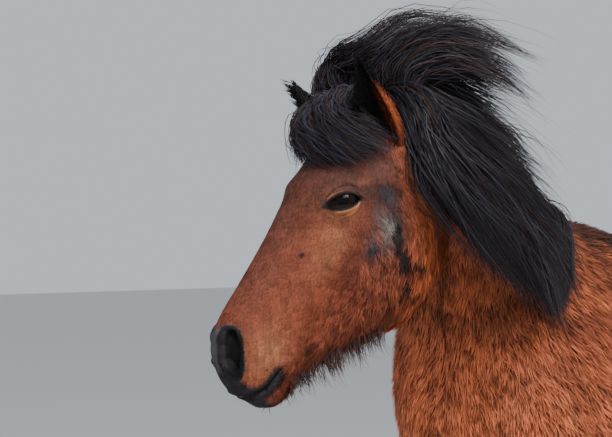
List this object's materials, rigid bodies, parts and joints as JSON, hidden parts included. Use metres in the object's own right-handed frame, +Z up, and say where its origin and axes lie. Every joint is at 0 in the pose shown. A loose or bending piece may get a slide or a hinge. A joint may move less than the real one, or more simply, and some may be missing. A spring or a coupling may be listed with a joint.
{
  "type": "icelandic horse model",
  "caption": "Life-size standing model of an Icelandic horse in winter coat, for show: head turned to its right, with mane, forelock and tail blown by the wind.",
  "frame": {"origin": "on the floor, under the middle of the model's box", "axes": "+X towards the tail, -Y the horse's left side, +Z up; the horse faces -X and looks to its right"},
  "size_m": [2.036, 0.5748, 1.7272],
  "materials": {
    "coat": "thick matte winter fur, red-brown",
    "head_coat": "short red-brown fur with black forelock",
    "neck_coat": "red-brown fur under a black mane",
    "ear_coat": "short dark fur",
    "dark_coat": "short black fur",
    "tail_hair": "long coarse black hair",
    "eye": "wet and dark",
    "hoof": "dull horn"
  },
  "bodies": {
    "root": {"ear_left": "ear_coat", "ear_right": "ear_coat", "eye_left": "eye", "eye_right": "eye", "foreleg_lower_left": "dark_coat", "foreleg_lower_right": "dark_coat", "foreleg_upper_left": "coat", "foreleg_upper_right": "coat", "head": "head_coat", "hindleg_lower_left": "dark_coat", "hindleg_lower_right": "dark_coat", "hindleg_upper_left": "coat", "hindleg_upper_right": "coat", "hoof_fore_left": "hoof", "hoof_fore_right": "hoof", "hoof_hind_left": "hoof", "hoof_hind_right": "hoof", "neck": "neck_coat", "tail": "tail_hair", "torso": "coat"}
  },
  "joints": []
}
